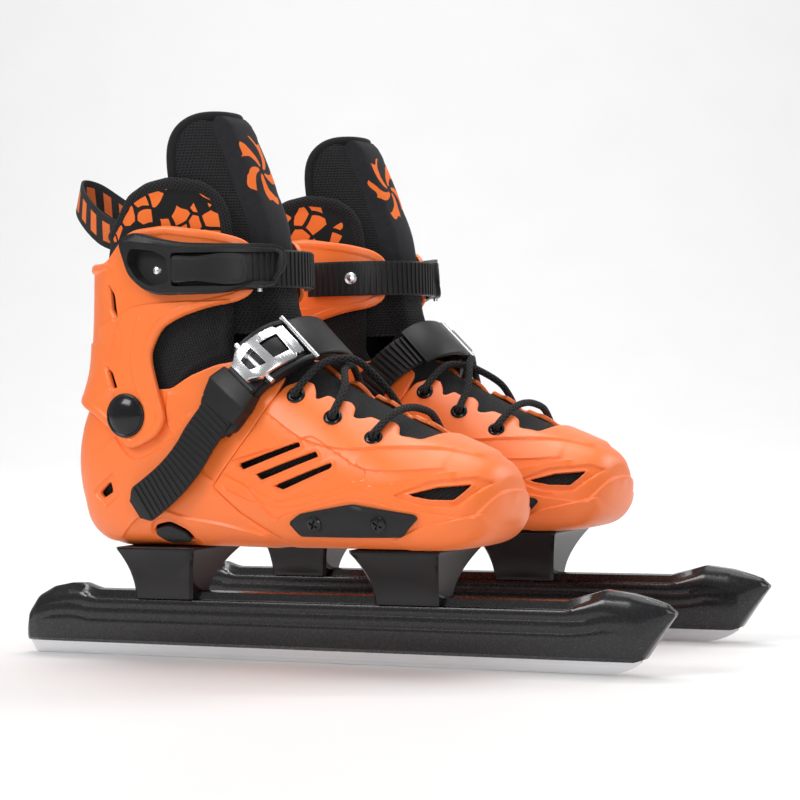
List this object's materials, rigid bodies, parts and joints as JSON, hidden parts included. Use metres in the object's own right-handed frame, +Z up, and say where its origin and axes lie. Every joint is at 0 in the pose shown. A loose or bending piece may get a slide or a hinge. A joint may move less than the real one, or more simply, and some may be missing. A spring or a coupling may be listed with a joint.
{
  "type": "adjustable hard-shell ice skates",
  "caption": "Pair of hard-shell ice skates with long speed blades, buckled instep and cuff straps, laced toe shells that slide to size, and padded liners.",
  "frame": {"origin": "on the ice, midway between the two runners and midway along the blades", "axes": "+X towards the toes, +Y to the left skate, +Z up"},
  "size_m": [0.4, 0.2578, 0.3004],
  "materials": {
    "orange_shell": "satin moulded polypropylene",
    "black_plastic": "matte moulded nylon",
    "gloss_black": "gloss black coating",
    "tube_lacquer": "black metal-flake lacquer",
    "runner_steel": "ground along its length",
    "bolt_steel": "satin",
    "chrome": "polished",
    "liner_fabric": "padded textile and mesh",
    "lace_cord": "round braided cord"
  },
  "bodies": {
    "left_skate_frame": {"left_blade_runner": "runner_steel", "left_blade_tube": "tube_lacquer", "left_heel_tower": "gloss_black", "left_toe_tower": "gloss_black", "left_heel_mount_bolt": "bolt_steel", "left_toe_mount_bolt": "bolt_steel", "left_heel_shell": "orange_shell", "left_cuff_pivot_outer": "gloss_black", "left_cuff_pivot_inner": "gloss_black", "left_liner_foot": "liner_fabric", "left_tongue_foot": "liner_fabric", "left_instep_arm": "black_plastic", "left_instep_ladder": "black_plastic", "left_instep_pad": "black_plastic"},
    "left_toe": {"left_toe_shell": "orange_shell", "left_side_guard_outer": "black_plastic", "left_side_guard_inner": "black_plastic", "left_lace": "lace_cord"},
    "left_cuff": {"left_cuff": "orange_shell", "left_liner_collar": "liner_fabric", "left_tongue_top": "liner_fabric", "left_pull_loop": "liner_fabric", "left_cuff_buckle": "black_plastic", "left_cuff_ladder": "black_plastic", "left_cuff_bolt_outer": "chrome", "left_cuff_bolt_inner": "chrome"},
    "left_size_button": {"left_size_button": "black_plastic"},
    "left_cuff_clip": {"left_cuff_clip": "black_plastic"},
    "left_instep_lever": {"left_instep_lever": "chrome"},
    "left_instep_release": {"left_instep_release": "black_plastic"},
    "right_skate_frame": {"right_blade_runner": "runner_steel", "right_blade_tube": "tube_lacquer", "right_heel_tower": "gloss_black", "right_toe_tower": "gloss_black", "right_heel_mount_bolt": "bolt_steel", "right_toe_mount_bolt": "bolt_steel", "right_heel_shell": "orange_shell", "right_cuff_pivot_outer": "gloss_black", "right_cuff_pivot_inner": "gloss_black", "right_liner_foot": "liner_fabric", "right_tongue_foot": "liner_fabric", "right_instep_arm": "black_plastic", "right_instep_ladder": "black_plastic", "right_instep_pad": "black_plastic"},
    "right_toe": {"right_toe_shell": "orange_shell", "right_side_guard_outer": "black_plastic", "right_side_guard_inner": "black_plastic", "right_lace": "lace_cord"},
    "right_cuff": {"right_cuff": "orange_shell", "right_liner_collar": "liner_fabric", "right_tongue_top": "liner_fabric", "right_pull_loop": "liner_fabric", "right_cuff_buckle": "black_plastic", "right_cuff_ladder": "black_plastic", "right_cuff_bolt_outer": "chrome", "right_cuff_bolt_inner": "chrome"},
    "right_size_button": {"right_size_button": "black_plastic"},
    "right_cuff_clip": {"right_cuff_clip": "black_plastic"},
    "right_instep_lever": {"right_instep_lever": "chrome"},
    "right_instep_release": {"right_instep_release": "black_plastic"}
  },
  "joints": [
    {"name": "skates_apart", "type": "slide", "parent": "right_skate_frame", "child": "left_skate_frame", "axis": [0, 1, 0], "range_m": [0, 0.2]},
    {"name": "left_cuff_flex", "type": "hinge", "parent": "left_skate_frame", "child": "left_cuff", "pos_m": [-0.099, 0.076, 0.1371], "axis": [0, 1, 0], "range_deg": [-5, 8]},
    {"name": "left_toe_slide", "type": "slide", "parent": "left_skate_frame", "child": "left_toe", "axis": [1, 0, 0], "range_m": [0, 0.018]},
    {"name": "left_size_button_press", "type": "slide", "parent": "left_skate_frame", "child": "left_size_button", "axis": [0, -1, 0], "range_m": [0, 0.0018], "stiffness_N_per_m": 600},
    {"name": "left_cuff_clip_lift", "type": "hinge", "parent": "left_cuff", "child": "left_cuff_clip", "pos_m": [-0.02413, 0.10976, 0.21471], "axis": [0, 0, -1], "range_deg": [0, 60], "stiffness_Nm_per_rad": 0.03},
    {"name": "left_instep_lever_lift", "type": "hinge", "parent": "left_skate_frame", "child": "left_instep_lever", "pos_m": [-0.00434, 0.10489, 0.17468], "axis": [0.692, 0.0194, -0.7216], "range_deg": [0, 75]},
    {"name": "left_instep_release_press", "type": "hinge", "parent": "left_instep_lever", "child": "left_instep_release", "pos_m": [-0.01157, 0.11577, 0.16834], "axis": [-0.7585, 0.0007, 0.6517], "range_deg": [0, 10], "stiffness_Nm_per_rad": 0.05},
    {"name": "right_cuff_flex", "type": "hinge", "parent": "right_skate_frame", "child": "right_cuff", "pos_m": [-0.099, -0.076, 0.1371], "axis": [0, 1, 0], "range_deg": [-5, 8]},
    {"name": "right_toe_slide", "type": "slide", "parent": "right_skate_frame", "child": "right_toe", "axis": [1, 0, 0], "range_m": [0, 0.018]},
    {"name": "right_size_button_press", "type": "slide", "parent": "right_skate_frame", "child": "right_size_button", "axis": [0, 1, 0], "range_m": [0, 0.0018], "stiffness_N_per_m": 600},
    {"name": "right_cuff_clip_lift", "type": "hinge", "parent": "right_cuff", "child": "right_cuff_clip", "pos_m": [-0.02413, -0.10976, 0.21471], "axis": [0, 0, 1], "range_deg": [0, 60], "stiffness_Nm_per_rad": 0.03},
    {"name": "right_instep_lever_lift", "type": "hinge", "parent": "right_skate_frame", "child": "right_instep_lever", "pos_m": [-0.00434, -0.10489, 0.17468], "axis": [-0.692, 0.0194, 0.7216], "range_deg": [0, 75]},
    {"name": "right_instep_release_press", "type": "hinge", "parent": "right_instep_lever", "child": "right_instep_release", "pos_m": [-0.01157, -0.11577, 0.16834], "axis": [0.7585, 0.0007, -0.6517], "range_deg": [0, 10], "stiffness_Nm_per_rad": 0.05}
  ]
}
